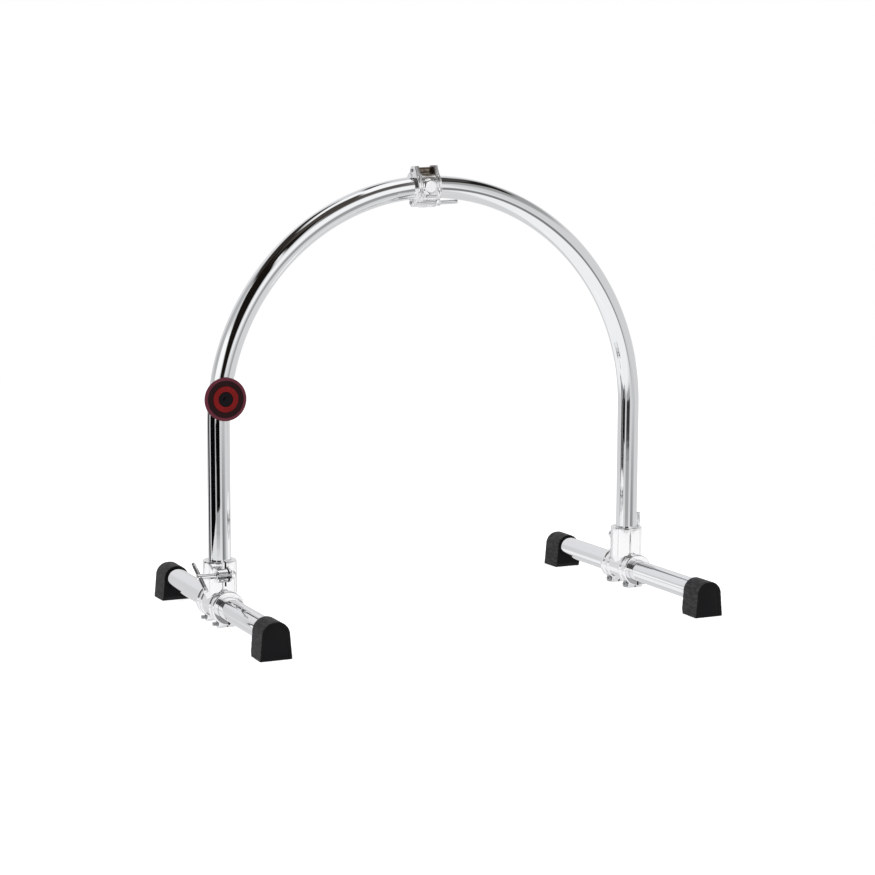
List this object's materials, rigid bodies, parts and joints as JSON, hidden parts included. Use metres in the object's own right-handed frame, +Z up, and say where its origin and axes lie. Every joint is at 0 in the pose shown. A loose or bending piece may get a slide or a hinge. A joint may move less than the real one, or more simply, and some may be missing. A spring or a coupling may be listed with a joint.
{
  "type": "drum docking frame",
  "caption": "Chromed tube arch standing on two base bars with rubber feet, joined by cast T clamps, with a hinged clamp on its crown and a round badge strapped to one leg.",
  "frame": {"origin": "on the ground under the middle of the arch, midway between its legs", "axes": "+Z up, +X to the right as seen from the front, -Y towards the front"},
  "size_m": [0.8926, 0.5604, 0.7694],
  "materials": {
    "chromed_tube": "mirror chrome plate",
    "chromed_casting": "chrome plate on a casting",
    "zinc_plated_steel": "zinc plated",
    "black_rubber": "matt moulded",
    "woven_strap": "woven webbing",
    "badge_maroon": "satin",
    "badge_red": "satin"
  },
  "bodies": {
    "frame": {"arch_tube": "chromed_tube", "badge_strap": "woven_strap", "badge_disc": "badge_maroon", "badge_ring": "badge_red", "badge_rivet": "zinc_plated_steel"},
    "left_base": {"left_leg_clamp": "chromed_casting", "left_front_key_bolt": "zinc_plated_steel", "left_front_key_nut": "zinc_plated_steel", "left_rear_key_bolt": "zinc_plated_steel", "left_rear_key_nut": "zinc_plated_steel", "left_leg_t_washer": "chromed_tube", "left_leg_t_nut": "zinc_plated_steel"},
    "left_bar": {"left_base_bar": "chromed_tube", "left_front_foot": "black_rubber", "left_rear_foot": "black_rubber"},
    "left_handle": {"left_leg_t_bolt": "chromed_tube", "left_leg_t_bar": "chromed_tube"},
    "right_base": {"right_leg_clamp": "chromed_casting", "right_front_key_bolt": "zinc_plated_steel", "right_front_key_nut": "zinc_plated_steel", "right_rear_key_bolt": "zinc_plated_steel", "right_rear_key_nut": "zinc_plated_steel", "right_leg_t_washer": "chromed_tube", "right_leg_t_nut": "zinc_plated_steel"},
    "right_bar": {"right_base_bar": "chromed_tube", "right_front_foot": "black_rubber", "right_rear_foot": "black_rubber"},
    "right_handle": {"right_leg_t_bolt": "chromed_tube", "right_leg_t_bar": "chromed_tube"},
    "top_clamp": {"top_rear_jaw": "chromed_casting", "top_hinge_pin": "zinc_plated_steel", "top_swing_pin": "zinc_plated_steel"},
    "top_jaw": {"top_front_jaw": "chromed_casting"},
    "top_bolt": {"top_swing_bolt": "zinc_plated_steel"},
    "top_washer": {"top_t_washer": "chromed_tube"},
    "top_handle": {"top_t_nut": "chromed_tube", "top_t_bar": "chromed_tube"}
  },
  "joints": [
    {"name": "left_base_swivel", "type": "hinge", "parent": "frame", "child": "left_base", "pos_m": [-0.3935, 0, 0.066], "axis": [0, 0, 1], "range_deg": [-90, 90]},
    {"name": "right_base_swivel", "type": "hinge", "parent": "frame", "child": "right_base", "pos_m": [0.3935, 0, 0.066], "axis": [0, 0, 1], "range_deg": [-90, 90]},
    {"name": "left_bar_slide", "type": "slide", "parent": "left_base", "child": "left_bar", "axis": [0, 1, 0], "range_m": [-0.12, 0.105]},
    {"name": "right_bar_slide", "type": "slide", "parent": "right_base", "child": "right_bar", "axis": [0, 1, 0], "range_m": [-0.105, 0.12]},
    {"name": "left_handle_spin", "type": "hinge", "parent": "left_base", "child": "left_handle", "pos_m": [-0.4408, -0.03631, 0.0945], "axis": [1, 0, 0], "continuous": true},
    {"name": "right_handle_spin", "type": "hinge", "parent": "right_base", "child": "right_handle", "pos_m": [0.4408, 0.03631, 0.0945], "axis": [1, 0, 0], "continuous": true},
    {"name": "top_clamp_travel", "type": "hinge", "parent": "frame", "child": "top_clamp", "pos_m": [0, 0, 0.339], "axis": [0, 1, 0], "range_deg": [-67, 83]},
    {"name": "top_jaw_open", "type": "hinge", "parent": "top_clamp", "child": "top_jaw", "pos_m": [-0.0204, 0, 0.76096], "axis": [-0.9988, 0, -0.0483], "range_deg": [0, 11.4]},
    {"name": "top_bolt_swing", "type": "hinge", "parent": "top_clamp", "child": "top_bolt", "pos_m": [-0.01776, 0.009, 0.70632], "axis": [0.9988, 0, 0.0483], "range_deg": [0, 100]},
    {"name": "top_washer_slide", "type": "slide", "parent": "top_bolt", "child": "top_washer", "axis": [0, -1, 0], "range_m": [0, 0.0115]},
    {"name": "top_handle_spin", "type": "hinge", "parent": "top_washer", "child": "top_handle", "pos_m": [-0.01776, -0.0505, 0.70632], "axis": [0, 1, 0], "continuous": true}
  ],
  "couplings": [
    {"joint": "top_washer_slide", "follows": "top_jaw_open", "m_per_rad": 0.055}
  ]
}
